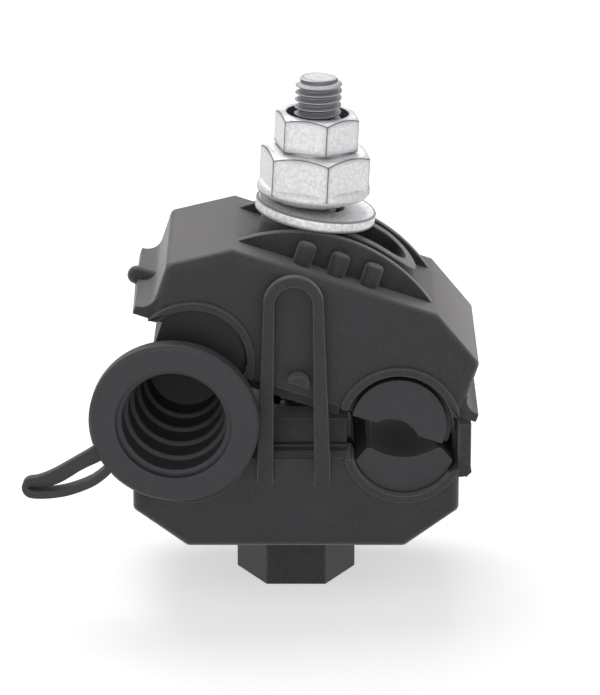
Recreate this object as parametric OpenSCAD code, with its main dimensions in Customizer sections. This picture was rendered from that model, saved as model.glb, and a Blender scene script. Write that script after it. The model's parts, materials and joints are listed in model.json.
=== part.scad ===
// Insulation-piercing branch clamp: two moulded jaws closed by one bolt with a shear-head nut.
// Millimetres, +Z up, origin under the hexagonal boss on the bolt axis, front towards -Y.

/* [Jaws] */
// Half distance between the two conductor channels
channel_x = 18.5; // [17.5:0.1:20]
// Radius of a conductor channel
channel_r = 9.2; // [8.8:0.1:9.6]
// Depth of both jaws, front face to rear face
jaw_depth = 34; // [32:0.5:38]
// Thickness of an end wall beside its channel
end_wall = 0.3; // [0.2:0.1:1.5]
// Rounding of the jaws' front and rear edges
edge_r = 1.6; // [1:0.1:2]
// Width of the raised rim round each channel mouth
rim_w = 1.4; // [0.8:0.1:1.5]
// Height of the raised rim above the jaw's face
rim_h = 0.7; // [0.3:0.1:0.7]
// Thickness of the front and rear walls at the channels
face_wall = 2.4; // [2:0.1:3]

/* [Lower jaw] */
// Height of the hexagonal boss
boss_h = 10; // [9:0.5:12]
// Width across flats of the hexagonal boss
boss_af = 18; // [17.5:0.1:20]
// Height of the channel centres above the base
lower_channel_z = 29; // [28:0.1:31]
// Drop of the jaw's top edge below the channel centres
lower_top_drop = 2.4; // [2:0.1:3]
// Width of the chamfers beside the flat underside
chamfer_w = 9.3; // [7:0.1:12]
// Height of the corner between chamfer and end wall
lower_corner_z = 16.8; // [16:0.1:19]
// Rise of the side tab's top over the lower channel centres
tab_rise = 3.4; // [2:0.1:3.5]
// Thickness of the side tab
tab_t = 2; // [1.5:0.1:2.2]
// Drop of the low wall behind the side tab
side_drop = 2; // [1:0.1:2.4]
// Length of the side tab along the jaw's depth
tab_len = 32; // [16:1:32]

// Rise of the tower round the bolt over the lower channel centres
tower_rise = 2.8; // [0.5:0.1:2.9]
// Half depth of the tower
tower_half_d = 11.5; // [10.5:0.1:12]

/* [Guide loop] */
// Sideways place of the front loop
loop_x = -0.4; // [-0.5:0.1:-0.2]
// Rise of the guide loops over the lower channel centres
loop_rise = 30.6; // [28:0.1:33]
// Outer half width of the loop at its arch
loop_half_w = 5.1; // [5:0.1:5.3]
// Outer half width of the loop at its root
loop_root_half_w = 6.3; // [6:0.1:6.4]
// Width of the loop's band at its arch
loop_band = 1.9; // [1.6:0.1:2]
// Width of the loop's band at its root
loop_root_band = 2.8; // [2:0.1:2.9]
// Thickness of the loop's band
loop_t = 1.7; // [1.4:0.1:2.2]
// Gap between the loop and the upper jaw's face
loop_gap = 0.4; // [0.3:0.1:0.6]

/* [Upper jaw] */
// Tilt of the upper jaw at rest, in degrees
jaw_tilt = 18.5; // [18.3:0.1:18.5]
// Sideways place of the rocking axis
rock_x = -0.5; // [-0.6:0.1:-0.4]
// Rise of the rocking line over the lower channel centres
rock_rise = 7.5; // [7.5:0.1:7.8]
// Height of the channel centre line above the rocking axis
saddle_drop = 1.7; // [1.6:0.1:1.9]
// Height of the flat ledge above the channel centre line
ledge_h = 20.8; // [20.6:0.1:20.9]
// Rise of the arched saddle's crest above the ledge
saddle_rise = 6; // [5.8:0.1:6]
// Slope of the top facets, in degrees
facet_slope = 32; // [28:1:36]
// Width of a top facet, seen from above
facet_w = 9.7; // [8.5:0.1:11]
// Half depth of the saddle block
saddle_half_d = 10.6; // [10.3:0.1:11.2]
// Half length of the bolt slot
slot_half_l = 11.8; // [11.6:0.1:12.2]
// Half width of the bolt slot
slot_half_w = 4.6; // [4.5:0.1:4.8]
// Wall of the raised boss round the slot
slot_wall = 2.4; // [2:0.1:2.6]
// Depth of the valleys beside the slotted boss
valley_depth = 2.4; // [1.5:0.1:3]
// Height of the side lips' underside above the channel centre line
lip_z = 4.7; // [4.7:0.1:5.8]
// Reach of the side lips beyond the end walls
lip_reach = 2.8; // [1.5:0.1:2.8]
// Thickness of the side lips
lip_t = 1.5; // [1.2:0.1:2]
// Radius of the guide peg
peg_r = 1.9; // [1.5:0.1:2]
// Radius of the side pin
pin_r = 1.6; // [1.2:0.1:1.8]
// Height of the pocket ribs
rib_h = 3.8; // [2.5:0.1:4.2]
// Radius of the pocket ribs
rib_r = 1.6; // [1.2:0.1:1.8]
// Spacing of the pocket ribs
rib_pitch = 6; // [5:0.1:7]

// Drop of the inner block round the bolt below the channel centre line
core_drop = 2.9; // [1:0.1:2.9]

/* [Seals and blades] */
// Distance of the seals' ends behind the jaws' faces
seal_inset = 0.4; // [0.2:0.1:2]
// Gap between a seal and its channel
seal_gap = 0.15; // [0.1:0.05:0.25]
// Radius of the conductor groove in the main seals
groove_r = 5; // [4.8:0.1:5.6]
// Drop of the upper main seal below its channel centre
seal_drop = 0.9; // [0.6:0.1:0.9]
// Thickness of a contact blade
blade_t = 3; // [2.5:0.1:3.2]
// Distance of the blades' mid-plane from the bolt
blade_y = 8; // [7.8:0.1:8.4]
// Clearance round a contact blade
blade_gap = 0.15; // [0.1:0.05:0.2]

/* [Bolt, washer and nut] */
// Nominal diameter of the bolt
bolt_d = 8; // [7.8:0.1:8]
// Lean of the loose bolt, in degrees
bolt_lean = 2.8; // [2.4:0.1:2.8]
// Length of stud above the nut
stud_out = 6.2; // [4:0.1:10]
// Width across flats of the bolt's head
head_af = 13; // [12.5:0.1:13]
// Height of the bolt's head
head_h = 5.3; // [4.5:0.1:5.6]
// Outer diameter of the washer
washer_d = 20.8; // [18:0.1:21]
// Thickness of the washer
washer_t = 2.1; // [1.6:0.1:2.2]
// Tilt of the washer on the bolt, in degrees
washer_tilt = 6; // [5:0.5:6.5]
// Width across flats of the nut's shear-off hexagon
shear_af = 13; // [12.5:0.1:13]
// Width across flats of the nut's lower hexagon
drive_af = 17; // [16.5:0.1:17.5]
// Height of the nut's shear-off hexagon
shear_h = 6; // [5:0.1:7]
// Height of the nut's lower hexagon
drive_h = 6; // [5:0.1:7]

/* [End cap] */
// Sideways place of the cap's axis at the jaw's front face
cap_x = -20.4; // [-20.4:0.1:-20.2]
// Rise of the cap's axis over the lower channel centres, at the jaw's front face
cap_rise = 5.8; // [5.8:0.1:6]
// Turn of the cap to the side, in degrees
cap_yaw = 4; // [3:0.5:4.5]
// Droop of the cap's mouth, in degrees
cap_droop = 4.5; // [3:0.5:4.5]
// Overhang of the cap's flange beyond its sleeve
flange_over = 4; // [3:0.1:4.2]
// Thickness of the cap's flange
flange_t = 3; // [2.5:0.1:3.4]
// Excess of the sleeve's radius over a channel's
sleeve_over = 1.3; // [0.8:0.1:1.3]
// Length of the sleeve behind the flange
sleeve_len = 22; // [14:0.5:22]
// Outer radius at the sleeve's closed end
sleeve_end_r = 7.3; // [6.8:0.1:8.5]
// Wall of the sleeve at the rings in its bore
cap_wall = 1.6; // [1.4:0.1:2.5]
// Depth of the grooves between the bore's rings
ring_depth = 0.7; // [0.4:0.1:0.8]
// Thickness of the pull loop's band
pull_t = 1.6; // [1.2:0.1:2]

/* [Hidden] */
$fn = 96;

moulded = "#3f3d41";
rubber = "#4a484c";
zinc = "#d3d4d8";
copper = "#b9b4a8";

half_d = jaw_depth / 2;
jaw_half_w = channel_x + channel_r + end_wall;
lower_base_half_w = jaw_half_w - chamfer_w;
ledge_half_w = jaw_half_w - facet_w;
saddle_r = ledge_h + saddle_drop + saddle_rise;
sleeve_d = 2 * (channel_r + sleeve_over);
flange_d = sleeve_d + 2 * flange_over;
cap_bore_d = sleeve_d - 2 * cap_wall;
past = 60;
eps = 0.02;
rim_r = channel_r + rim_w;
seal_r = channel_r - seal_gap;
wall_half_d = half_d - face_wall;
seal_half_l = half_d - seal_inset;
lower_top_z = lower_channel_z - lower_top_drop;
tab_top_z = lower_channel_z + tab_rise;
tower_top_z = lower_channel_z + tower_rise;
loop_top_z = lower_channel_z + loop_rise;
rock_z = lower_channel_z + rock_rise;
cap_z = lower_channel_z + cap_rise;

// Frame of the tilted upper jaw: origin midway between its channel centres
module on_jaw() {
    translate([rock_x, 0, rock_z])
        rotate([0, jaw_tilt, 0])
            translate([0, 0, saddle_drop])
                children();
}

// Solid whose XZ section is the child, centred on the jaw's mid-plane
module slab(depth) {
    rotate([90, 0, 0])
        linear_extrude(depth, center = true)
            children();
}

// Cylinder along Y through the point (x, z)
module rod_y(r, depth, x = 0, z = 0) {
    translate([x, 0, z])
        rotate([90, 0, 0])
            cylinder(r = r, h = depth, center = true);
}

// Points of an arc about the centre c, from the angle a0 to a1 in n steps
function arc(c, r, a0, a1, n = 8) =
    [for (i = [0 : n]) c + r * [cos(a0 + (a1 - a0) * i / n), sin(a0 + (a1 - a0) * i / n)]];

// Convex block with the child outline, its front and rear edges rounded in steps
module rounded_block() {
    steps = 4;
    hull()
        for (i = [0 : steps])
            slab(jaw_depth - 2 * edge_r * (1 - sin(90 * i / steps)))
                offset(delta = -edge_r * (1 - cos(90 * i / steps)))
                    children();
}

// Both channel rims, standing proud of the front and rear faces
module rims(z) {
    for (s = [-1, 1])
        rod_y(rim_r, jaw_depth + 2 * rim_h, s * channel_x, z);
}

// Both conductor channels, cut through the whole depth
module channels(z) {
    for (s = [-1, 1])
        rod_y(channel_r, jaw_depth + 4, s * channel_x, z);
}

// Lower jaw: octagonal block with boss, channels, side tab and two guide loops
seat_depth = 2;
seat_z = boss_h - seat_depth;
head_gap = 0.35;
bolt_hole_r = bolt_d / 2 + 1.3;
tab_foot_z = lower_top_z - 4;
side_top_z = lower_top_z - side_drop;
tower_low_x = channel_r + 0.2 - channel_x;
tower_high_x = channel_x - channel_r - 0.5;
tower_foot_d = 2;
tower_foot_h = 1;
core_low_x = channel_r + 0.4 - channel_x;
core_high_x = channel_x - channel_r - 0.8;
core_half_d = tower_half_d + 1;
low_wall_w = 1.5;
lip_inset = 0.8;
flare_h = 2.4;
rib_out = 1.3;
peg_x = -0.3;
tab_toe = 0.7;
bite = 1;

module lower_block() {
    difference() {
        rounded_block()
            polygon([[-lower_base_half_w, boss_h], [lower_base_half_w, boss_h],
                     [jaw_half_w, lower_corner_z], [jaw_half_w, lower_channel_z + edge_r],
                     [-jaw_half_w, lower_channel_z + edge_r], [-jaw_half_w, lower_corner_z]]);
        translate([-past, -past, lower_top_z])
            cube(2 * past);
    }
}

module lower_rims() {
    intersection() {
        rims(lower_channel_z);
        translate([-jaw_half_w, -past, 0])
            cube([2 * jaw_half_w, 2 * past, lower_top_z]);
    }
}

module side_tab() {
    slab(tab_len)
        polygon([[jaw_half_w - bite, tab_foot_z],
                 [jaw_half_w + tab_t - tab_toe, tab_foot_z],
                 [jaw_half_w + tab_t, tab_foot_z + tab_toe],
                 [jaw_half_w + tab_t, tab_top_z],
                 [jaw_half_w, tab_top_z],
                 [jaw_half_w, side_top_z],
                 [jaw_half_w - bite, side_top_z]]);
}

// Tower round the bolt between the channels, on a wider foot
module tower() {
    tower_w = tower_high_x - tower_low_x;
    for (step = [[tower_half_d, tower_top_z], [tower_half_d + tower_foot_d, lower_top_z + tower_foot_h]])
        translate([tower_low_x, -step[0], lower_top_z - bite])
            cube([tower_w, 2 * step[0], step[1] - lower_top_z + bite]);
}

// Hairpin outline: tapering legs under a half-round arch
module hairpin(half_w, root_half_w, foot_z) {
    arch_z = loop_top_z - loop_half_w;
    polygon([[-root_half_w, foot_z], [root_half_w, foot_z], [half_w, arch_z], [-half_w, arch_z]]);
    translate([0, arch_z])
        circle(half_w);
}

loop_foot_z = lower_top_z - 0.4;
fairing_h = 4.8;
loop_inner = loop_half_w - loop_band;
loop_root_inner = loop_root_half_w - loop_root_band;

module guide_loop() {
    translate([loop_x, -half_d - loop_gap - loop_t / 2, 0])
        slab(loop_t)
            difference() {
                hairpin(loop_half_w, loop_root_half_w, loop_foot_z);
                hairpin(loop_inner, loop_root_inner, loop_foot_z - bite);
            }
    for (s = [-1, 1])
        translate([loop_x + s * (loop_root_half_w + loop_root_inner) / 2 - loop_root_band / 2, 0, 0])
            rotate([90, 0, 90])
                linear_extrude(loop_root_band)
                    polygon([[-half_d + bite, loop_foot_z + 0.3],
                             [-half_d - loop_gap - loop_t, loop_foot_z + 0.3],
                             [-half_d - loop_gap - loop_t, loop_foot_z],
                             [-half_d, loop_foot_z - fairing_h],
                             [-half_d + bite, loop_foot_z - fairing_h]]);
}

module lower_housing() {
    color(moulded)
        difference() {
            union() {
                lower_block();
                lower_rims();
                side_tab();
                tower();
                cylinder(r = boss_af / 2 / cos(30), h = boss_h + bite, $fn = 6);
                guide_loop();
                rotate([0, 0, 180])
                    guide_loop();
            }
            channels(lower_channel_z);
            translate([channel_x + channel_r - low_wall_w, -past, side_top_z])
                cube([low_wall_w + end_wall, 2 * past, past]);
            translate([0, 0, -eps])
                cylinder(r = bolt_hole_r, h = past);
            translate([0, 0, -eps])
                cylinder(r = (head_af / 2 + head_gap) / cos(30), h = seat_z + eps, $fn = 6);
            at_lower()
                blade_slots(-bite);
        }
}

// Contact blades: flat bars with a row of teeth at each channel
blade_half_l = channel_x + 5.6;
blade_back = channel_r - 0.6;
main_edge = 4.8;
tap_edge = 7.7;
tooth_h = 1.1;
tooth_pitch = 1.8;
tooth_count = 5;

// Outline points of one row of teeth centred on x, from x + to x -
function teeth(x, edge) =
    [for (i = [0 : tooth_count - 1], k = [0, 1])
        [x + (tooth_count / 2 - i - k / 2) * tooth_pitch, edge - k * tooth_h]];

module blade_outline() {
    polygon(concat([[-blade_half_l, blade_back], [blade_half_l, blade_back], [blade_half_l, main_edge]],
                   teeth(channel_x, main_edge),
                   [[channel_x - tooth_count / 2 * tooth_pitch, main_edge],
                    [bolt_d / 2, main_edge], [-bolt_d / 2, tap_edge]],
                   teeth(-channel_x, tap_edge),
                   [[-channel_x - tooth_count / 2 * tooth_pitch, tap_edge], [-blade_half_l, tap_edge]]));
}

// A blade in front of the bolt for s = -1, behind it for s = 1
module blade(s) {
    translate([0, s * blade_y, 0])
        slab(blade_t)
            blade_outline();
}

// Slots for both blades, from the height low to behind the blades' backs
module blade_slots(low) {
    slot_w = blade_t + 2 * blade_gap;
    slot_l = 2 * (blade_half_l + blade_gap);
    for (s = [-1, 1])
        translate([-slot_l / 2, s * blade_y - slot_w / 2, low])
            cube([slot_l, slot_w, blade_back + blade_gap - low]);
}

// Frame of the lower jaw's channels, turned over so that +Z runs down into the jaw
module at_lower() {
    translate([0, 0, lower_channel_z])
        mirror([0, 0, 1])
            children();
}

module blade_lower_front() { color(copper) at_lower() blade(-1); }
module blade_lower_rear() { color(copper) at_lower() blade(1); }
module blade_upper_front() { color(copper) on_jaw() blade(-1); }
module blade_upper_rear() { color(copper) on_jaw() blade(1); }

// Upper jaw: faceted block with arched saddle, slotted boss, lips, rims, ribs, pegs and side pin
underside_h = 2.2;
saddle_rib_t = 1.6;
peg_z = 2.1;
pin_out = 2;

module upper_block() {
    shoulder_h = ledge_h - (jaw_half_w - ledge_half_w) * tan(facet_slope);
    difference() {
        rounded_block()
            polygon([[-jaw_half_w, -2 * edge_r], [jaw_half_w, -2 * edge_r], [jaw_half_w, shoulder_h],
                     [ledge_half_w, ledge_h], [-ledge_half_w, ledge_h], [-jaw_half_w, shoulder_h]]);
        below(0);
    }
}

module upper_rims() {
    intersection() {
        rims(0);
        translate([-jaw_half_w, -past, 0])
            cube([2 * jaw_half_w, 2 * past, past]);
    }
}

// Bolt slot outline grown by a wall
module slot_outline(wall) {
    straight = slot_half_l - slot_half_w;
    polygon(concat(arc([straight, 0], slot_half_w + wall, -90, 90, 24),
                   arc([-straight, 0], slot_half_w + wall, 90, 270, 24)));
}

module saddle() {
    difference() {
        intersection() {
            rod_y(saddle_r, 2 * saddle_half_d, 0, -saddle_drop);
            translate([-past, -past, ledge_h - bite])
                cube([2 * past, 2 * past, past]);
        }
        difference() {
            rod_y(saddle_r + bite, 2 * (saddle_half_d - saddle_rib_t), 0, -saddle_drop);
            rod_y(saddle_r - valley_depth, 2 * saddle_half_d, 0, -saddle_drop);
            linear_extrude(past)
                slot_outline(slot_wall);
        }
    }
}

// Short ribs with rounded rims in the pocket in front of the saddle
rib_round = 0.6;
module pocket_ribs() {
    rib_top = rib_h + bite;
    for (i = [-1 : 1])
        translate([i * rib_pitch, -saddle_half_d - rib_out, ledge_h - bite])
            rotate_extrude($fn = 48)
                polygon(concat([[0, 0], [rib_r, 0]],
                               arc([rib_r - rib_round, rib_top - rib_round], rib_round, 0, 90, 3),
                               [[0, rib_top]]));
}

// Side lip with a hollow flare up to the end wall
module side_lip() {
    lip_top = lip_z + lip_t;
    flare = [for (a = [270 : -15 : 180])
        [jaw_half_w + lip_reach * (1 + cos(a)), lip_top + flare_h * (1 + sin(a))]];
    slab(jaw_depth - lip_inset)
        polygon(concat([[jaw_half_w - bite, lip_z], [jaw_half_w + lip_reach, lip_z]], flare,
                       [[jaw_half_w - bite, lip_top + flare_h]]));
}

module guide_peg() {
    peg_len = loop_gap + loop_t;
    intersection() {
        translate([0, -half_d - peg_len / 2 + bite / 2, 0])
            rod_y(peg_r, peg_len + bite, peg_x, peg_z);
        translate([-past, -past, peg_z])
            cube([2 * past, 2 * past, past]);
    }
}

module side_pin() {
    pin_len = pin_out + lip_reach + bite;
    dome_z = pin_len - pin_r;
    translate([bite - jaw_half_w, 0, lip_z + pin_r])
        rotate([0, -90, 0])
            rotate_extrude($fn = 48)
                polygon(concat([[0, 0], [pin_r, 0]], arc([0, dome_z], pin_r, 0, 75, 5),
                               [[0, dome_z + pin_r * sin(75)]]));
}

module upper_shell() {
    difference() {
        union() {
            upper_block();
            upper_rims();
            saddle();
            side_lip();
            mirror([1, 0, 0])
                side_lip();
            pocket_ribs();
            guide_peg();
            rotate([0, 0, 180]) {
                pocket_ribs();
                guide_peg();
            }
            side_pin();
        }
        channels(0);
        translate([-channel_x, -wall_half_d, -bite])
            cube([2 * channel_x, 2 * wall_half_d, underside_h + bite]);
        for (s = [-1, 1])
            translate([s * (channel_x + past / 2 + bite), 0, lip_z / 2 - bite / 2])
                cube([past, past, lip_z + bite], center = true);
    }
}

// Block round the bolt, hanging between the channels
module core() {
    translate([core_low_x, -core_half_d, -core_drop])
        cube([core_high_x - core_low_x, 2 * core_half_d, core_drop + underside_h + bite]);
}

module upper_housing() {
    color(moulded)
        on_jaw()
            difference() {
                union() {
                    upper_shell();
                    core();
                }
                translate([0, 0, -core_drop - bite])
                    linear_extrude(past)
                        slot_outline(0);
                blade_slots(-bite);
            }
}

// Seals: rubber half-shells with a conductor groove, their ends stepped in
seal_step = 0.9;
tap_step = 0.05;
lower_step = 0.15;
lower_groove_r = 2 * groove_r;
shoulder_w = 6;
shoulder_h = 7.2;
tap_trim = 2.2;
tap_upper_gap = 1;
tap_lower_gap = 0.4;
seal_step_l = 2;
seal_end_gap = 0.15;
main_slot = main_edge - tooth_h - blade_gap;
tap_slot = tap_edge - tooth_h - blade_gap;
plateau_drop = 0.8;
plateau_half_w = 6.3;
upper_groove_z = 0.8;
lower_groove_z = 2.5;

module seal_body(x, step) {
    rod_y(seal_r, 2 * (seal_half_l - seal_step_l), x, 0);
    rod_y(seal_r - step, 2 * (seal_half_l - seal_end_gap), x, 0);
}

// Half space below the height z
module below(z) {
    translate([-past, -past, z - past])
        cube([2 * past, 2 * past, past]);
}

module main_seal_upper() {
    color(rubber)
        on_jaw()
            difference() {
                seal_body(channel_x, seal_step);
                rod_y(groove_r, past, channel_x, upper_groove_z - groove_r);
                below(-seal_drop);
                blade_slots(main_slot);
            }
}

module main_seal_lower() {
    shoulder = plateau_half_w + shoulder_w;
    color(rubber)
        at_lower()
            difference() {
                seal_body(channel_x, lower_step);
                rod_y(lower_groove_r, past, channel_x, lower_groove_z - lower_groove_r);
                translate([channel_x, 0, 0])
                    slab(past)
                        polygon([[-shoulder, -past / 2], [shoulder, -past / 2],
                                 [shoulder, plateau_drop + shoulder_h], [plateau_half_w, plateau_drop],
                                 [-plateau_half_w, plateau_drop], [-shoulder, plateau_drop + shoulder_h]]);
                blade_slots(main_slot);
            }
}

module tap_seal_upper() {
    side_x = channel_x + channel_r - tap_trim;
    color(rubber)
        difference() {
            on_jaw()
                difference() {
                    seal_body(-channel_x, tap_step);
                    translate([-side_x - past, -past, lip_z - past])
                        cube([past, 2 * past, past]);
                    blade_slots(tap_slot);
                }
            on_cap()
                rod_y(sleeve_d / 2 + tap_upper_gap, 2 * past);
        }
}

module tap_seal_lower() {
    color(rubber)
        difference() {
            at_lower()
                difference() {
                    seal_body(-channel_x, lower_step);
                    below(lower_top_drop + seal_gap);
                    blade_slots(tap_slot);
                }
            on_cap()
                rod_y(sleeve_d / 2 + tap_lower_gap, 2 * past);
        }
}

// Bolt, washer and nut: one leaning line from the head's seat upwards
pivot_z = seat_z - head_gap;
tip_chamfer = 1;
washer_gap = 0.1;
washer_shift = 0.4;
plane_tilt = bolt_lean + washer_tilt;
washer_s = (saddle_r + washer_gap + sin(plane_tilt) * rock_x + cos(plane_tilt) * (rock_z - pivot_z))
    / cos(washer_tilt);
nut_base_r = 7;
nut_s = washer_s + washer_t / cos(washer_tilt) + nut_base_r * tan(washer_tilt) + 0.15;
nut_turn = -17;
collar_r = drive_af / 2 / cos(30) - 0.05;
collar_round = 1;
cone_h = 0.9;
collar_h = cone_h + 2 * collar_round;
neck_h = 0.3;
nut_bore_r = bolt_d / 2 + 0.1;
nut_h = collar_h + drive_h + neck_h + shear_h;
stud_len = nut_s + nut_h + stud_out;

module on_bolt() {
    translate([0, 0, pivot_z])
        rotate([0, bolt_lean, 0])
            children();
}

// Hexagonal prism with its corners taken off at 30 degrees above and, if asked, below
module chamfered_hex(af, h, both = true) {
    corner = af / 2 / cos(30);
    cut = (corner - af / 2 + 0.15) * tan(30);
    low = both ? cut : 0;
    intersection() {
        cylinder(r = corner, h = h, $fn = 6);
        rotate_extrude()
            polygon([[0, 0], [both ? af / 2 - 0.15 : corner + 1, 0], [both ? corner : corner + 1, low],
                     [both ? corner : corner + 1, low], [corner, h - cut], [af / 2 - 0.15, h], [0, h]]);
    }
}

module clamp_bolt() {
    color(zinc)
        on_bolt() {
            translate([0, 0, -head_h])
                chamfered_hex(head_af, head_h);
            translate([0, 0, -bite])
                cylinder(r = bolt_d / 2, h = stud_len - tip_chamfer + bite);
            translate([0, 0, stud_len - tip_chamfer])
                cylinder(r1 = bolt_d / 2, r2 = bolt_d / 2 - tip_chamfer, h = tip_chamfer);
        }
}

module washer() {
    ease = 0.25;
    hole_r = bolt_d / 2 + 0.8;
    color(zinc)
        on_bolt()
            translate([0, 0, washer_s])
                rotate([0, washer_tilt, 0])
                    translate([washer_shift, 0, 0])
                        rotate_extrude()
                            polygon([[hole_r, 0], [washer_d / 2 - ease, 0], [washer_d / 2, ease],
                                     [washer_d / 2, washer_t - ease], [washer_d / 2 - ease, washer_t],
                                     [hole_r, washer_t]]);
}

module shear_nut() {
    color(zinc)
        on_bolt()
            translate([0, 0, nut_s])
                difference() {
                    union() {
                        rotate_extrude()
                            polygon(concat([[0, 0], [nut_base_r, 0], [collar_r - 1.4, cone_h]],
                                           arc([collar_r - collar_round, cone_h + collar_round],
                                               collar_round, -90, 90),
                                           [[0, collar_h]]));
                        rotate([0, 0, nut_turn])
                            translate([0, 0, collar_h - collar_round])
                                chamfered_hex(drive_af, drive_h + collar_round, false);
                        cylinder(r = shear_af / 2 - 0.4, h = nut_h - shear_h + bite);
                        rotate([0, 0, nut_turn])
                            translate([0, 0, nut_h - shear_h])
                                chamfered_hex(shear_af, shear_h, false);
                    }
                    translate([0, 0, -bite])
                        cylinder(r = nut_bore_r, h = nut_h + 2 * bite);
                    translate([0, 0, nut_h - 3])
                        cylinder(r = bolt_d / 2 + 1.3, h = 4);
                }
}

// End cap: flanged sleeve closed at the rear, rings in its bore, a pull loop on its flange
cap_gap = 2.4;
mouth_r = cap_bore_d / 2 + 1;
ring_r = cap_bore_d / 2;
ring_n = 5;
ring_land = 1;
cap_floor = 1.6;
sleeve_ease = 1;
flange_ease = 0.6;
mouth_depth = 0.9;
first_ring = flange_t - mouth_depth - 0.4;
ring_pitch = (sleeve_len + first_ring - cap_floor) / ring_n;

module on_cap() {
    translate([cap_x, -half_d, cap_z])
        rotate([cap_droop, 0, -cap_yaw])
            children();
}

sleeve_taper = (sleeve_d / 2 - sleeve_end_r) / sleeve_len;

// Radius of a ring's crest in the tapering bore
function crest(z) = ring_r - sleeve_taper * (first_ring - z);

// One ring and the groove behind it, in the bore's outline
function ring(z) = [[crest(z), z], [crest(z), z - ring_land],
                    [crest(z - ring_land) + ring_depth, z - ring_land - 0.4],
                    [crest(z - ring_pitch) + ring_depth, z - ring_pitch + 0.4]];

module cap_body() {
    rings = [for (i = [0 : ring_n - 1], q = ring(first_ring - i * ring_pitch)) q];
    translate([0, -cap_gap, 0])
        rotate([90, 0, 0])
            rotate_extrude()
                polygon(concat([[0, -sleeve_len], [sleeve_end_r - sleeve_ease, -sleeve_len],
                                [sleeve_end_r, sleeve_ease - sleeve_len], [sleeve_d / 2, 0],
                                [flange_d / 2 - flange_ease / 2, 0], [flange_d / 2, flange_ease / 2],
                                [flange_d / 2, flange_t - flange_ease],
                                [flange_d / 2 - flange_ease, flange_t], [mouth_r, flange_t],
                                [mouth_r, flange_t - mouth_depth],
                                [ring_r + ring_depth, flange_t - mouth_depth]],
                               rings,
                               [[0, cap_floor - 0.4 - sleeve_len]]));
}

// Band along one cubic curve, out from the flange and back to it
pull = [[-12.9, -4.8], [-28, -7.2], [-32.5, -20.5], [-10.4, -8.7]];
pull_w = 2.6;
pull_n = 28;

function curve(t) = pow(1 - t, 3) * pull[0] + 3 * pow(1 - t, 2) * t * pull[1]
    + 3 * (1 - t) * t * t * pull[2] + pow(t, 3) * pull[3];
function heading(t) = pow(1 - t, 2) * (pull[1] - pull[0]) + 2 * (1 - t) * t * (pull[2] - pull[1])
    + t * t * (pull[3] - pull[2]);
function beside(t, s) = curve(t) + s * pull_t / 2 * [-heading(t)[1], heading(t)[0]] / norm(heading(t));

module pull_loop() {
    outer = [for (i = [0 : pull_n]) beside(i / pull_n, 1)];
    inner = [for (i = [pull_n : -1 : 0]) beside(i / pull_n, -1)];
    translate([0, -cap_gap - (flange_t - pull_w) / 2, 0])
        rotate([90, 0, 0])
            linear_extrude(pull_w)
                polygon(concat(outer, inner));
}

module end_cap() {
    color(rubber)
        on_cap() {
            cap_body();
            pull_loop();
        }
}

lower_housing();
upper_housing();
main_seal_upper();
main_seal_lower();
tap_seal_upper();
tap_seal_lower();
blade_lower_front();
blade_lower_rear();
blade_upper_front();
blade_upper_rear();
clamp_bolt();
washer();
shear_nut();
end_cap();
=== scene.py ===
# %% [markdown]
# # An insulation-piercing branch clamp
# Two moulded jaws close on a pair of conductors, drawn together by one bolt whose nut has a
# hexagon that shears off at the right torque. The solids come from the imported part, so this
# lesson mostly dresses them: softened edges, a cut thread, a folded strap, finishes, a floor,
# light and a camera.

import json
import math

import bmesh
import bpy
from mathutils import Matrix, Vector


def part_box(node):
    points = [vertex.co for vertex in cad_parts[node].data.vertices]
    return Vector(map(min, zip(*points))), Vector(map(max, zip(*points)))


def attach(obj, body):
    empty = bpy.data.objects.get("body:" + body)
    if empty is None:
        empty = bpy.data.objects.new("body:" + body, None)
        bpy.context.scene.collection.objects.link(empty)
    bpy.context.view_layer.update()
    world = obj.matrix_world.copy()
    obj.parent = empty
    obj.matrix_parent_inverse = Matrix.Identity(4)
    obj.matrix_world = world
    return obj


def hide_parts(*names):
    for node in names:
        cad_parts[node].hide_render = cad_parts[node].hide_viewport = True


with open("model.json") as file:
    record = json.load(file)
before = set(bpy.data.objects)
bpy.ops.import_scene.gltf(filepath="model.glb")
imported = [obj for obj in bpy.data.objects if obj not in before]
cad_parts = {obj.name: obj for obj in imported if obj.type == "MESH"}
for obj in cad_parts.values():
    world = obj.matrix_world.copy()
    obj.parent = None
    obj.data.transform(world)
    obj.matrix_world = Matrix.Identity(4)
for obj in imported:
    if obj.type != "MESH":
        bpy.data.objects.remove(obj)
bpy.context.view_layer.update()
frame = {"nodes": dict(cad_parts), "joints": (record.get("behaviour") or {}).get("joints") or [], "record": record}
MM = 0.001
scene = bpy.context.scene
scene.view_settings.view_transform = "Standard"

# %% [markdown]
# ## A grain that every moulded piece shares
# Glass-filled plastic leaves the tool with a fine sandy skin, and rubber with a softer one. One
# node group makes both: a fine noise for the height of the grain, and a broad one for the slow
# drift of tone that handling and the mould leave. Each material sets its own size and strength.

# %% Node group helpers
def new_group(name, inputs, outputs):
    """A shader node group with named number sockets, its two ends and the object's coordinates."""
    group = bpy.data.node_groups.new(name, "ShaderNodeTree")
    for label, value in inputs.items():
        socket = group.interface.new_socket(name=label, in_out="INPUT",
                                            socket_type="NodeSocketFloat")
        socket.default_value = value
    for label in outputs:
        group.interface.new_socket(name=label, in_out="OUTPUT", socket_type="NodeSocketFloat")
    given = group.nodes.new("NodeGroupInput").outputs
    result = group.nodes.new("NodeGroupOutput").inputs
    place = group.nodes.new("ShaderNodeTexCoord").outputs["Object"]
    return group, given, result, place


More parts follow.
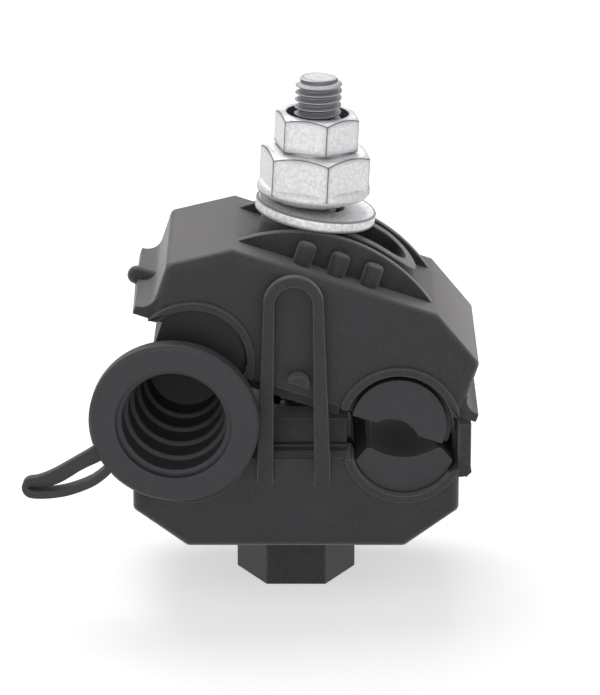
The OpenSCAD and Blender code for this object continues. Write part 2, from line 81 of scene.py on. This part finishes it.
def noise(nodes, links, coordinates, scale, detail, roughness):
    """A noise texture on the given coordinates, with its scale from another socket."""
    texture = nodes.new("ShaderNodeTexNoise")
    texture.inputs["Detail"].default_value = detail
    texture.inputs["Roughness"].default_value = roughness
    links.new(coordinates, texture.inputs["Vector"])
    links.new(scale, texture.inputs["Scale"])
    return texture.outputs["Fac"]


def ramp(nodes, links, value, low, high, out_low=0.0, out_high=1.0):
    """Stretch a value from one range onto another, held inside it."""
    node = nodes.new("ShaderNodeMapRange")
    node.inputs["From Min"].default_value = low
    node.inputs["From Max"].default_value = high
    node.inputs["To Min"].default_value = out_low
    node.inputs["To Max"].default_value = out_high
    links.new(value, node.inputs["Value"])
    return node.outputs["Result"]


def combine(nodes, links, operation, first, second):
    """One number from two sockets."""
    node = nodes.new("ShaderNodeMath")
    node.operation = operation
    links.new(first, node.inputs[0])
    links.new(second, node.inputs[1])
    return node.outputs["Value"]


# %% The moulded grain group
GRAINS_PER_METRE = 3200.0
DRIFT_PER_METRE = 95.0
GRAIN_DETAIL, DRIFT_DETAIL = 2.0, 4.0
GRAIN_ROUGHNESS = 0.6
GRAIN_RANGE = (0.3, 0.7)
GRAIN_SHARE, DRIFT_SHARE = 0.65, 0.35


def make_moulded_grain():
    group, given, result, place = new_group(
        "moulded grain", {"Grain Scale": GRAINS_PER_METRE, "Drift Scale": DRIFT_PER_METRE},
        ("Height", "Tone"))
    nodes, links = group.nodes, group.links
    grain = noise(nodes, links, place, given["Grain Scale"], GRAIN_DETAIL, GRAIN_ROUGHNESS)
    drift = noise(nodes, links, place, given["Drift Scale"], DRIFT_DETAIL, GRAIN_ROUGHNESS)
    tone = combine(nodes, links, "ADD", ramp(nodes, links, grain, *GRAIN_RANGE, 0, GRAIN_SHARE),
                   ramp(nodes, links, drift, *GRAIN_RANGE, 0, DRIFT_SHARE))
    links.new(grain, result["Height"])
    links.new(tone, result["Tone"])
    return group


moulded_grain = make_moulded_grain()
print("group:", moulded_grain.name, "sockets:", len(moulded_grain.interface.items_tree))

# %% [markdown]
# ## Plastic and rubber
# The jaws are a charcoal plastic with a dry sheen, the seals and the cap a softer rubber, and the
# tap seals, deep in their channel, the same rubber drawn darker as painted shade. All are a
# Principled shader whose colour and roughness drift with the grain's tone, and whose normal takes
# the grain's height. Numbers that are the same all over sit on the shader itself. A second pair
# serves for the edges: handling rubs them smooth, so that they catch the light, and their paler
# colour is a painted highlight, strong on the plastic and slight on the rubber.

# %% Material helpers
def mix_colours(nodes, links, factor, dark, light):
    """A colour that runs from dark to light as the factor goes from 0 to 1."""
    mix = nodes.new("ShaderNodeMix")
    mix.data_type = "RGBA"
    mix.inputs["A"].default_value = (*dark, 1)
    mix.inputs["B"].default_value = (*light, 1)
    links.new(factor, mix.inputs["Factor"])
    return mix.outputs["Result"]


def bump(nodes, links, height, strength, distance):
    """A bump node for a height that varies over the surface."""
    node = nodes.new("ShaderNodeBump")
    node.inputs["Strength"].default_value = strength
    node.inputs["Distance"].default_value = distance
    links.new(height, node.inputs["Height"])
    return node.outputs["Normal"]


def new_material(name):
    """A new node material, with its nodes and links."""
    material = bpy.data.materials.new(name)
    material.use_nodes = True
    return material, material.node_tree.nodes, material.node_tree.links


def place_group(nodes, group, values):
    """A node group placed in a material with its own values."""
    node = nodes.new("ShaderNodeGroup")
    node.node_tree = group
    for label, value in values.items():
        node.inputs[label].default_value = value
    return node.outputs


def finish_surface(nodes, links, tone, colours, rough, normal):
    """Lead a tone to the shader's colour and roughness, and a normal to its normal."""
    shader = nodes["Principled BSDF"].inputs
    links.new(mix_colours(nodes, links, tone, *colours), shader["Base Color"])
    links.new(ramp(nodes, links, tone, 0, 1, *rough), shader["Roughness"])
    links.new(normal, shader["Normal"])
    return shader


# %% Moulded materials
MOULDED_SPECULAR = 0.4
SHEEN_TINT = (1, 0.95, 0.97, 1)
RUBBER_GRAIN = (0.02 * MM, 0.25)


def moulded_material(name, dark, light, rough, grain_scale, grain_depth, strength, sheen=0.0):
    material, nodes, links = new_material(name)
    grain = place_group(nodes, moulded_grain, {"Grain Scale": grain_scale})
    normal = bump(nodes, links, grain["Height"], strength, grain_depth)
    shader = finish_surface(nodes, links, grain["Tone"], (dark, light), rough, normal)
    shader["Specular IOR Level"].default_value = MOULDED_SPECULAR
    shader["Sheen Weight"].default_value = sheen
    shader["Sheen Tint"].default_value = SHEEN_TINT
    return material


jaw_plastic = moulded_material("jaw plastic", (0.004, 0.0034, 0.0044), (0.042, 0.038, 0.044),
                               (0.42, 0.62), 2600.0, 0.06 * MM, 0.8, sheen=0.5)
# Painted highlight: the plastic's rounded edges are drawn paler where they catch the light.
plastic_edge_highlight = moulded_material("plastic edge painted highlight", (0.050, 0.047, 0.052),
                                (0.125, 0.118, 0.128), (0.4, 0.55), 2600.0, 0.05 * MM, 0.4)
seal_rubber = moulded_material("seal rubber", (0.037, 0.035, 0.039), (0.063, 0.059, 0.067),
                               (0.5, 0.66), 1500.0, *RUBBER_GRAIN)
# Painted shade: the tap seals are the same rubber as the others, drawn darker for their deep channel.
tap_rubber_painted_shade = moulded_material("tap seal rubber painted shade", (0.010, 0.009, 0.011), (0.022, 0.020, 0.024),
                              (0.5, 0.66), 1500.0, *RUBBER_GRAIN)
cap_rubber = moulded_material("cap rubber", (0.034, 0.033, 0.037), (0.060, 0.056, 0.064),
                              (0.46, 0.62), 1800.0, *RUBBER_GRAIN)
# A slight painted highlight: the rubber's rounded edges are drawn a little paler, and smoother.
rubber_edge_highlight = moulded_material("rubber edge painted highlight", (0.034, 0.032, 0.036),
                               (0.066, 0.062, 0.069), (0.42, 0.55), 1800.0, *RUBBER_GRAIN)
print("moulded finishes:", jaw_plastic.name, seal_rubber.name, tap_rubber_painted_shade.name, cap_rubber.name)

# %% [markdown]
# ## Hot-dip zinc
# The nut, washer and stud come out of molten zinc with a pale, cloudy skin: bright patches, dull
# grey spangle and small pits. Each face is also drawn duller where it nears its edges. A group gives
# the clouds, the pits and the border, and each metal uses it with its own colours. An occlusion
# node that looks inward finds the border: near an edge its rays soon meet the next face. A darker
# zinc is painted shade on the rounded edges of the nut and the bolt's head, on the roots of the
# thread and the turns inside the nut, where light hardly reaches. A duller zinc on the stud's end
# faces is painted shade that keeps the lit tip from washing out, and a tinned copper serves for
# the contact blades.

# %% The cloudy metal group
CLOUDS_PER_METRE = 420.0
PITS_PER_METRE = 1700.0
BORDER = 1.1 * MM
CLOUD_DETAIL, CLOUD_ROUGHNESS = 6.0, 0.65
PIT_DETAIL, PIT_ROUGHNESS = 2.0, 0.5
CLOUD_RANGE, CLOUD_TONES = (0.28, 0.72), (0.58, 0.82)
PIT_RANGE, PIT_TONES = (0.42, 0.6), (0.0, 0.18)
OPEN_RANGE = (0.45, 1.0)
BORDER_SAMPLES = 8


def make_cloudy_metal():
    group, given, result, place = new_group(
        "cloudy metal",
        {"Cloud Scale": CLOUDS_PER_METRE, "Pit Scale": PITS_PER_METRE, "Border": BORDER},
        ("Clouds", "Height"))
    nodes, links = group.nodes, group.links
    clouds = noise(nodes, links, place, given["Cloud Scale"], CLOUD_DETAIL, CLOUD_ROUGHNESS)
    pits = noise(nodes, links, place, given["Pit Scale"], PIT_DETAIL, PIT_ROUGHNESS)
    skin = combine(nodes, links, "ADD", ramp(nodes, links, clouds, *CLOUD_RANGE, *CLOUD_TONES),
                   ramp(nodes, links, pits, *PIT_RANGE, *PIT_TONES))
    # Each face is drawn duller near its edges.
    look_inward = nodes.new("ShaderNodeAmbientOcclusion")
    look_inward.inside = True
    look_inward.only_local = True
    look_inward.samples = BORDER_SAMPLES
    links.new(given["Border"], look_inward.inputs["Distance"])
    open_face = ramp(nodes, links, look_inward.outputs["AO"], *OPEN_RANGE)
    links.new(combine(nodes, links, "MULTIPLY", skin, open_face), result["Clouds"])
    links.new(skin, result["Height"])
    return group


cloudy_metal = make_cloudy_metal()
print("group:", cloudy_metal.name, "sockets:", len(cloudy_metal.interface.items_tree))

# %% Metal materials
METALLIC = 0.85
SKIN_STRENGTH = 0.35
ZINC_DEPTH = 0.03 * MM
TIN_DEPTH = 0.02 * MM
WASHER_BORDER = 0.25 * MM


def metal_material(name, dull, bright, rough, cloud_scale, depth=ZINC_DEPTH, border=BORDER):
    material, nodes, links = new_material(name)
    metal = place_group(nodes, cloudy_metal, {"Cloud Scale": cloud_scale, "Border": border})
    normal = bump(nodes, links, metal["Height"], SKIN_STRENGTH, depth)
    shader = finish_surface(nodes, links, metal["Clouds"], (dull, bright), rough, normal)
    shader["Metallic"].default_value = METALLIC
    return material


zinc = metal_material("hot-dip zinc", (0.34, 0.34, 0.36), (0.88, 0.885, 0.89), (0.58, 0.5), 2200.0)
# Painted shade: a darker zinc for the nut's and head's rounded edges, the thread's roots, the turns inside the nut
# and the counterbore.
zinc_painted_shade = metal_material("zinc in painted shade", (0.10, 0.10, 0.11), (0.24, 0.24, 0.26), (0.6, 0.5), 900.0)
# Painted shade: the stud's end faces are drawn duller so that the lit tip does not wash out.
zinc_tip_painted_shade = metal_material("stud end zinc in painted shade", (0.24, 0.24, 0.25), (0.64, 0.64, 0.65), (0.75, 0.65), 1700.0)
washer_zinc = metal_material("washer zinc", (0.36, 0.36, 0.38), (0.87, 0.875, 0.88),
                             (0.58, 0.48), 1700.0, border=WASHER_BORDER)
tinned = metal_material("tinned copper", (0.48, 0.45, 0.40), (0.72, 0.69, 0.62), (0.4, 0.28), 300.0,
                        TIN_DEPTH)
print("metal finishes:", zinc.name, zinc_painted_shade.name, zinc_tip_painted_shade.name, washer_zinc.name, tinned.name)

# %% [markdown]
# ## Softened edges
# A moulded or zinc-dipped edge is never a knife edge: it catches a thin line of light. Every
# outward edge sharper than 32 degrees gets a bevel weight, and the long blunt ridges of the jaws
# get several times as much. A bevel modifier rounds those edges and gives the rounding its own
# finish, a painted highlight on the plastic and rubber and a painted shade on the zinc, while
# inward corners are marked sharp, so that they stay tight and dark.

# %% Round the edges
SHARP = math.radians(32)
RIDGE_UNDER = math.radians(70)
RIDGE_SPAN = 20 * MM
ROUND_SEGMENTS = 3
EDGE_SLOT = 1


def weigh_edges(solid, ridge_ratio=1):
    """Mark outward edges for rounding, long blunt ridges more so, and keep inner corners crisp."""
    weight = solid.edges.layers.float.new("bevel_weight_edge")
    for edge in solid.edges:
        angle = edge.calc_face_angle_signed() if edge.is_manifold else 0
        if angle > SHARP:
            ridge = angle < RIDGE_UNDER and edge.calc_length() > RIDGE_SPAN
            edge[weight] = 1 if ridge else 1 / ridge_ratio
        elif angle < -SHARP:
            edge.smooth = False


def soften(piece, width, edge_material):
    """Round the weighted edges and shade the faces smoothly by their area."""
    bevel = piece.modifiers.new("rounded edges", "BEVEL")
    bevel.width = width
    bevel.segments = ROUND_SEGMENTS
    bevel.limit_method = "WEIGHT"
    bevel.use_clamp_overlap = False
    bevel.miter_outer = "MITER_ARC"
    # The rounding's finish is a painted highlight on the plastic and rubber and a painted shade on the zinc.
    piece.data.materials.append(edge_material)
    bevel.material = EDGE_SLOT
    shading = piece.modifiers.new("even shading", "WEIGHTED_NORMAL")
    shading.keep_sharp = True


print("rounding edges sharper than", round(math.degrees(SHARP)), "degrees")

# %% [markdown]
# ## Rubber in its place
# The seals are pressed into their channels, so each is drawn a hair wider than its solid, and no
# light shows beside it. The cap's solid carries a plain flat band for its pull loop. That band is
# cut off at the flange here, and the rim is closed, because a folded strap takes its place below.

# %% Press the seals and trim the cap
SEAL_PRESS = 0.08 * MM
FLANGE_R = 14.5 * MM
TRIM_ROOM = 0.05 * MM


def press_out(solid):
    """Widen a rubber seal so that it lies tight against its channel's walls."""
    places = [vert.co.x for vert in solid.verts]
    centre, half_width = (max(places) + min(places)) / 2, (max(places) - min(places)) / 2
    for vert in solid.verts:
        vert.co.x += SEAL_PRESS * (vert.co.x - centre) / half_width


cap_mount = next(mount for mount in frame["record"]["mounts"] if mount["name"] == "cap_bore")
inward = -Vector(cap_mount["axis"]).normalized()
across = Vector((inward.y, -inward.x, 0)).normalized()
cap_turn = Matrix((across, inward, across.cross(inward))).transposed()
cap_frame = Matrix.Translation(cap_mount["pos_m"]) @ cap_turn.to_4x4()


def trim_loop(solid):
    """Take the cap's plain loop off and close the flange's rim where it stood."""
    to_cap = cap_frame.inverted()
    beyond = [vert for vert in solid.verts
              if (to_cap @ vert.co).xz.length > FLANGE_R + TRIM_ROOM]
    bmesh.ops.delete(solid, geom=beyond, context="VERTS")
    bmesh.ops.holes_fill(solid, edges=[edge for edge in solid.edges if edge.is_boundary])
    left_open = sum(edge.is_boundary for edge in solid.edges)
    print("loop corners taken off:", len(beyond), "edges left open:", left_open)


print("cap mouth mm:", [round(v / MM, 1) for v in cap_frame.translation])

# %% [markdown]
# ## Dressing the solids
# Each CAD solid is copied, and its flat triangles are merged back into whole faces, so that only
# true edges are left to round. The copy then stands for the solid and moves with its body. The
# finish goes by the solid's material, apart from a few pieces that have one of their own.

# %% Dress the solids
WELD = 0.002 * MM
FLAT = math.radians(0.5)
body_of_node = {node: body for body, nodes in frame["record"]["behaviour"]["bodies"].items()
                for node in nodes}


def mesh_from(solid, name):
    """A mesh of a worked solid, which is let go."""
    mesh = bpy.data.meshes.new(name)
    solid.to_mesh(mesh)
    solid.free()
    return mesh


def add_piece(name, mesh, body, material):
    """Link a mesh as a piece of the object that moves with one of its bodies."""
    piece = bpy.data.objects.new(name, mesh)
    scene.collection.objects.link(piece)
    mesh.materials.append(material)
    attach(piece, body)
    return piece


def dress(node, width, material, edge_material, slot, ridge_ratio):
    """A softened copy of a CAD node that stands for it."""
    solid = bmesh.new()
    solid.from_mesh(frame["nodes"][node].data)
    bmesh.ops.remove_doubles(solid, verts=solid.verts, dist=WELD)
    if node == "end_cap":
        trim_loop(solid)
    bmesh.ops.dissolve_limit(solid, angle_limit=FLAT, verts=solid.verts, edges=solid.edges)
    weigh_edges(solid, ridge_ratio)
    if slot == "seal":
        press_out(solid)
    for face in solid.faces:
        face.smooth = True
    piece = add_piece(node + "_skin", mesh_from(solid, node + " skin"), body_of_node[node],
                      material)
    soften(piece, width * ridge_ratio, edge_material)
    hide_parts(node)


# %% Choose each solid's finish, edge and rounding
# Edge finishes: painted highlight on the plastic and rubber, painted shade on the zinc.
finish_of = {"housing": (jaw_plastic, plastic_edge_highlight, 0.2 * MM),
             "seal": (seal_rubber, rubber_edge_highlight, 0.2 * MM),
             "cap": (cap_rubber, rubber_edge_highlight, 0.12 * MM),
             "galvanised": (zinc, zinc_painted_shade, 0.12 * MM),
             "tinned": (tinned, tinned, 0.1 * MM)}
# The tap seals take the rubber in painted shade.
own_finish_of = {"washer": (washer_zinc, washer_zinc, 0.4 * MM),
                 "tap_seal_upper": (tap_rubber_painted_shade, tap_rubber_painted_shade, 0.2 * MM),
                 "tap_seal_lower": (tap_rubber_painted_shade, tap_rubber_painted_shade, 0.2 * MM)}
ridge_ratio_of = {"upper_housing": 8, "lower_housing": 6}
solids = [part for part in frame["record"]["subparts"] if part["node"] != "clamp_bolt"]
for part in solids:
    node, slot = part["node"], part["material_slot"]
    material, edge_material, width = own_finish_of.get(node, finish_of[slot])
    dress(node, width, material, edge_material, slot, ridge_ratio_of.get(node, 1))
print("dressed:", len(solids), "solids")

# %% [markdown]
# ## The cap's pull loop
# The real loop is a limp rubber strap: it leaves the flange standing on edge, folds over at its
# far end and comes back lying flat, so that only the half near the flange stays open. A rectangle
# is carried along a row of stations in the cap's own frame, each with its own height and depth,
# and a smooth curve fills in between them.

# %% Stations of the strap
ON_EDGE = (0.35, 0.75)
FLAT_STRAP = (0.68, -0.3, 1.3)
# Across, up, half height, middle depth and half depth, all in mm
strap = [(-12.4, -5.6, 1.4, *ON_EDGE),
         (-13.6, -6.65, 1.35, *ON_EDGE),
         (-16.6, -8.45, 1.2, *ON_EDGE),
         (-20.4, -10.9, 1.25, *ON_EDGE),
         (-23.2, -11.95, 1.05, *ON_EDGE),
         (-25.1, -12.15, 0.85, 0.25, 0.8),
         (-25.75, -12.95, 0.6, 0.0, 1.05),
         (-24.9, -13.75, 0.66, -0.3, 1.3),
         (-22.2, -13.85, *FLAT_STRAP),
         (-18.5, -13.2, *FLAT_STRAP),
         (-14.7, -11.65, *FLAT_STRAP),
         (-12.5, -10.1, *FLAT_STRAP),
         (-11.0, -8.55, *FLAT_STRAP)]
STRAP_STEPS = 7


def bend_between(before, start, end, after, share):
    """A value between two stations on a smooth curve that their neighbours bend."""
    cubic = 3 * (start - end) + after - before
    square = 2 * before - 5 * start + 4 * end - after
    return start + 0.5 * share * (end - before + share * (square + share * cubic))


def strap_rows():
    """The stations and the steps between them, in metres."""
    held = [strap[0], *strap, strap[-1]]
    rows = [[bend_between(*values, step / STRAP_STEPS) for values in zip(*held[i:i + 4])]
            for i in range(len(strap) - 1) for step in range(STRAP_STEPS)]
    return [[value * MM for value in row] for row in (*rows, strap[-1])]


print("strap rows:", len(strap_rows()))

# %% Sweep the strap
STRAP_ROUND = 0.15 * MM
STRAP_CORNERS = ((1, -1), (1, 1), (-1, 1), (-1, -1))


def build_strap():
    solid = bmesh.new()
    rows = strap_rows()
    rings = []
    for i, (x, z, half_height, depth, half_depth) in enumerate(rows):
        before, after = rows[max(i - 1, 0)], rows[min(i + 1, len(rows) - 1)]
        heading = Vector((after[0] - before[0], after[1] - before[1])).normalized()
        ring = []
        for side, face in STRAP_CORNERS:
            lift = side * half_height
            point = (x - lift * heading.y, depth + face * half_depth, z + lift * heading.x)
            ring.append(solid.verts.new(cap_frame @ Vector(point)))
        rings.append(ring)
    for low, high in zip(rings, rings[1:]):
        for k in range(len(STRAP_CORNERS)):
            solid.faces.new((low[k], low[k - 1], high[k - 1], high[k])).smooth = True
    solid.faces.new(rings[0])
    solid.faces.new(rings[-1])
    bmesh.ops.recalc_face_normals(solid, faces=solid.faces)
    weigh_edges(solid)
    return mesh_from(solid, "pull loop")


pull_loop = add_piece("pull_loop", build_strap(), body_of_node["end_cap"], cap_rubber)
soften(pull_loop, STRAP_ROUND, rubber_edge_highlight)
print("strap faces:", len(pull_loop.data.polygons))

# %% [markdown]
# ## The threaded stud
# The CAD bolt is a plain shank, because a helix is heavy in a solid model. Here the stud gets a
# real 8 mm coarse thread: a profile of root, flank, crest and flank is repeated along the stud,
# and each row of points climbs one pitch per turn, so the crest runs on as one clean helix. The
# roots, and the turns that stand inside the nut, take the darker zinc as painted shade.

# %% Measure the bolt's line from the imported joint
HEAD_HEIGHT = 5.3 * MM
HEAD_R = 13 * MM / math.sqrt(3)
STUD_R = 4 * MM
TIP_R = 3 * MM
travel = next(joint for joint in frame["joints"] if joint["name"] == "clamp_travel")
bolt_axis = Vector(travel["axis"]).normalized()
bolt_low, bolt_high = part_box("clamp_bolt")
head_tilt = HEAD_R * bolt_axis.x
head_top_z = bolt_low.z + HEAD_HEIGHT * bolt_axis.z + head_tilt
tip_tilt = TIP_R * bolt_axis.x
stud_length = (bolt_high.z - tip_tilt - head_top_z) / bolt_axis.z
turn_to_bolt = Vector((0, 0, 1)).rotation_difference(bolt_axis)
bolt_frame = Matrix.Translation((0, 0, head_top_z)) @ turn_to_bolt.to_matrix().to_4x4()
print("head top mm:", round(head_top_z / MM, 2), "stud mm:", round(stud_length / MM, 2))

# %% Shape of the thread
PITCH = 1.25 * MM
ROOT_R = 3.2 * MM
STEPS_AROUND = 40
THREAD_FROM = 12 * MM
profile = [(0.0, ROOT_R), (0.22, ROOT_R), (0.54, STUD_R), (0.68, STUD_R)]


def stud_radius(height, thread_r):
    """Radius at a height above the head: plain shank, then thread, then a chamfered tip."""
    radius = STUD_R if height < THREAD_FROM else thread_r
    return min(radius, TIP_R + stud_length - height)


def on_circle(radius, share, height):
    """A point at a share of a turn round the stud."""
    angle = 2 * math.pi * share
    return radius * math.cos(angle), radius * math.sin(angle), height


def thread_rows(solid):
    """Rows of points that each climb one pitch per turn, from the head to the tip."""
    rows = []
    for turn in range(int(stud_length / PITCH) + 3):
        for phase, thread_r in profile:
            row = []
            for step in range(STEPS_AROUND):
                share = step / STEPS_AROUND
                height = min(max((turn + phase + share - 1) * PITCH, 0), stud_length)
                point = on_circle(stud_radius(height, thread_r), share, height)
                row.append(solid.verts.new(point))
            rows.append(row)
    return rows


print("turns:", round(stud_length / PITCH, 1))

# %% Cut the thread
SHADED_TURNS = 46
ROOT_ROWS = 2
PAINTED_SHADE_SLOT, TIP_SLOT = 1, 2
STUD_WELD = 0.005 * MM


def build_stud():
    solid = bmesh.new()
    rows = thread_rows(solid)
    turn_rows = len(profile)

    def corner(row, step):
        return rows[row][step] if step < STEPS_AROUND else rows[row + turn_rows][0]

    for low in range(len(rows) - turn_rows - 1):
        # The roots and the turns inside the nut take the zinc in painted shade.
        in_shade = low % turn_rows < ROOT_ROWS or low < turn_rows * SHADED_TURNS
        for step in range(STEPS_AROUND):
            face = solid.faces.new((corner(low, step), corner(low, step + 1),
                                    corner(low + 1, step + 1), corner(low + 1, step)))
            face.material_index = PAINTED_SHADE_SLOT if in_shade else 0
    # Both end faces take the duller zinc in painted shade.
    for radius, height in ((STUD_R, 0), (TIP_R, stud_length)):
        ring = [solid.verts.new(on_circle(radius, step / STEPS_AROUND, height))
                for step in range(STEPS_AROUND)]
        solid.faces.new(ring).material_index = TIP_SLOT
    bmesh.ops.remove_doubles(solid, verts=solid.verts, dist=STUD_WELD)
    bmesh.ops.dissolve_degenerate(solid, edges=solid.edges, dist=STUD_WELD)
    bmesh.ops.recalc_face_normals(solid, faces=solid.faces)
    bmesh.ops.transform(solid, matrix=bolt_frame, verts=solid.verts)
    return mesh_from(solid, "threaded stud")


stud = add_piece("threaded_stud", build_stud(), "lower_jaw", zinc)
stud.data.materials.append(zinc_painted_shade)
stud.data.materials.append(zinc_tip_painted_shade)
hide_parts("clamp_bolt")
print("stud faces:", len(stud.data.polygons))

# %% [markdown]
# ## The nut's dark bore
# Between the stud and the nut's counterbore hardly any light gets in. Every face of the nut that
# lies wholly within the counterbore's radius of the bolt's line takes the darker zinc that its
# edges already carry, as painted shade.

# %% Darken the counterbore
BORE_REACH = 5.4 * MM
nut_mesh = bpy.data.objects["shear_nut_skin"].data
to_bolt = bolt_frame.inverted()
corner_reach = [(to_bolt @ corner.co).xy.length for corner in nut_mesh.vertices]
bore_faces = [face for face in nut_mesh.polygons
              if max(corner_reach[i] for i in face.vertices) < BORE_REACH]
# The counterbore's faces take the zinc in painted shade.
for face in bore_faces:
    face.material_index = EDGE_SLOT
print("bore faces:", len(bore_faces))

# %% [markdown]
# ## The bolt's head
# The head sits in a hexagonal pocket of the lower jaw, so that it can't turn. It is a plain
# six-sided prism, with the same leaning line as the stud and the same painted shade on its edges
# as the nut.

# %% Bolt head
HEAD_ROUND = 0.3 * MM
head_solid = bmesh.new()
bmesh.ops.create_cone(head_solid, cap_ends=True, segments=6, radius1=HEAD_R, radius2=HEAD_R,
                      depth=HEAD_HEIGHT)
first_corner = head_solid.verts[:][0].co
face_front = Matrix.Rotation(-math.atan2(first_corner.y, first_corner.x), 3, "Z")
bmesh.ops.rotate(head_solid, verts=head_solid.verts, matrix=face_front)
bmesh.ops.translate(head_solid, verts=head_solid.verts, vec=(0, 0, -HEAD_HEIGHT / 2))
bmesh.ops.transform(head_solid, matrix=bolt_frame, verts=head_solid.verts)
weigh_edges(head_solid)
head = add_piece("bolt_head", mesh_from(head_solid, "bolt head"), "lower_jaw", zinc)
soften(head, HEAD_ROUND, zinc_painted_shade)
print("head corners:", len(head.data.vertices))

# %% [markdown]
# ## Floor and surroundings
# The part stands on a white sweep. The floor is a plain pale surface that takes the part's soft
# shadow, and to the camera it is lifted to white, as a lit studio table is. The surroundings are
# white to the camera and in reflections, and a mild grey as a source of light.

# %% White floor
FLOOR_HALF = 3.0
floor_mesh = bpy.data.meshes.new("floor")
corners = [(x * FLOOR_HALF, y * FLOOR_HALF, 0) for x, y in ((-1, -1), (1, -1), (1, 1), (-1, 1))]
floor_mesh.from_pydata(corners, [], [(0, 1, 2, 3)])
floor = bpy.data.objects.new("floor", floor_mesh)
scene.collection.objects.link(floor)
print("floor metres:", 2 * FLOOR_HALF)

# %% Finish of the floor
FLOOR_LIFT = 0.53
PAPER_GREY = 0.8
PAPER_ROUGHNESS = 0.9
PAPER_SPECULAR = 0.1


def seen_ray(nodes, links):
    """1 for rays from the camera and in reflections or glass, 0 for light that only bounces."""
    path = nodes.new("ShaderNodeLightPath").outputs
    seen = path["Is Camera Ray"]
    for name in ("Is Glossy Ray", "Is Transmission Ray"):
        seen = combine(nodes, links, "MAXIMUM", seen, path[name])
    return seen


floor_white, nodes, links = new_material("white floor")
paper = nodes["Principled BSDF"]
paper.inputs["Base Color"].default_value = (PAPER_GREY, PAPER_GREY, PAPER_GREY, 1)
paper.inputs["Roughness"].default_value = PAPER_ROUGHNESS
paper.inputs["Specular IOR Level"].default_value = PAPER_SPECULAR
lift = nodes.new("ShaderNodeEmission")
links.new(ramp(nodes, links, seen_ray(nodes, links), 0, 1, 0, FLOOR_LIFT), lift.inputs["Strength"])
both = nodes.new("ShaderNodeAddShader")
links.new(paper.outputs["BSDF"], both.inputs[0])
links.new(lift.outputs["Emission"], both.inputs[1])
links.new(both.outputs["Shader"], nodes["Material Output"].inputs["Surface"])
floor_mesh.materials.append(floor_white)
print("floor lift:", FLOOR_LIFT)

# %% White surroundings
AMBIENT = 0.33
world = bpy.data.worlds.new("white studio")
world.use_nodes = True
scene.world = world
nodes, links = world.node_tree.nodes, world.node_tree.links
sky = nodes["Background"]
sky.inputs["Color"].default_value = (1, 1, 1, 1)
links.new(ramp(nodes, links, seen_ray(nodes, links), 0, 1, AMBIENT, 1), sky.inputs["Strength"])
print("ambient:", AMBIENT)

# %% [markdown]
# ## Light and camera
# One broad lamp above and behind draws the sheen on the sloping facets, and three gentler ones at
# the front open up the dark faces and the cap's bore. The photograph looks down on the part
# through a long lens, from straight in front, so the camera stands far back and a little above.

# %% Lamps
def add_lamp(name, place, aim, size, power):
    """A square area lamp at a place, turned to face a point."""
    light = bpy.data.lights.new(name, "AREA")
    light.size = size
    light.energy = power
    lamp = bpy.data.objects.new(name, light)
    lamp.location = place
    lamp.rotation_euler = (Vector(aim) - Vector(place)).to_track_quat("-Z", "Y").to_euler()
    scene.collection.objects.link(lamp)


# Place and size in metres, and power in watts
lamps = {"rear softbox": ((-0.08, 0.34, 0.66), 0.5, 2.5),
         "left fill": ((-0.55, -0.5, 0.4), 0.4, 0.3),
         "right fill": ((0.55, -0.55, 0.35), 0.4, 0.25),
         "front fill": ((-0.1, -0.7, 0.26), 0.4, 0.6)}
middle = (0, 0, 45 * MM)
for name, (place, size, power) in lamps.items():
    add_lamp(name, place, middle, size, power)
print("lamps:", len(lamps))

# %% Camera
IMAGE_HEIGHT = 695
FOCAL_PIXELS = 4117
SENSOR = 36
DISTANCE = 716 * MM
ELEVATION = math.radians(18.7)
look_at = Vector((0.7 * MM, 0, 40.7 * MM))
lens = bpy.data.cameras.new("long lens")
lens.sensor_width = SENSOR
lens.lens = FOCAL_PIXELS / IMAGE_HEIGHT * SENSOR
lens.clip_start = 50 * MM
camera = bpy.data.objects.new("camera", lens)
back = Vector((0, -math.cos(ELEVATION), math.sin(ELEVATION)))
camera.location = look_at + DISTANCE * back
camera.rotation_euler = (-back).to_track_quat("-Z", "Y").to_euler()
scene.collection.objects.link(camera)
scene.camera = camera
print("lens mm:", round(lens.lens, 1))
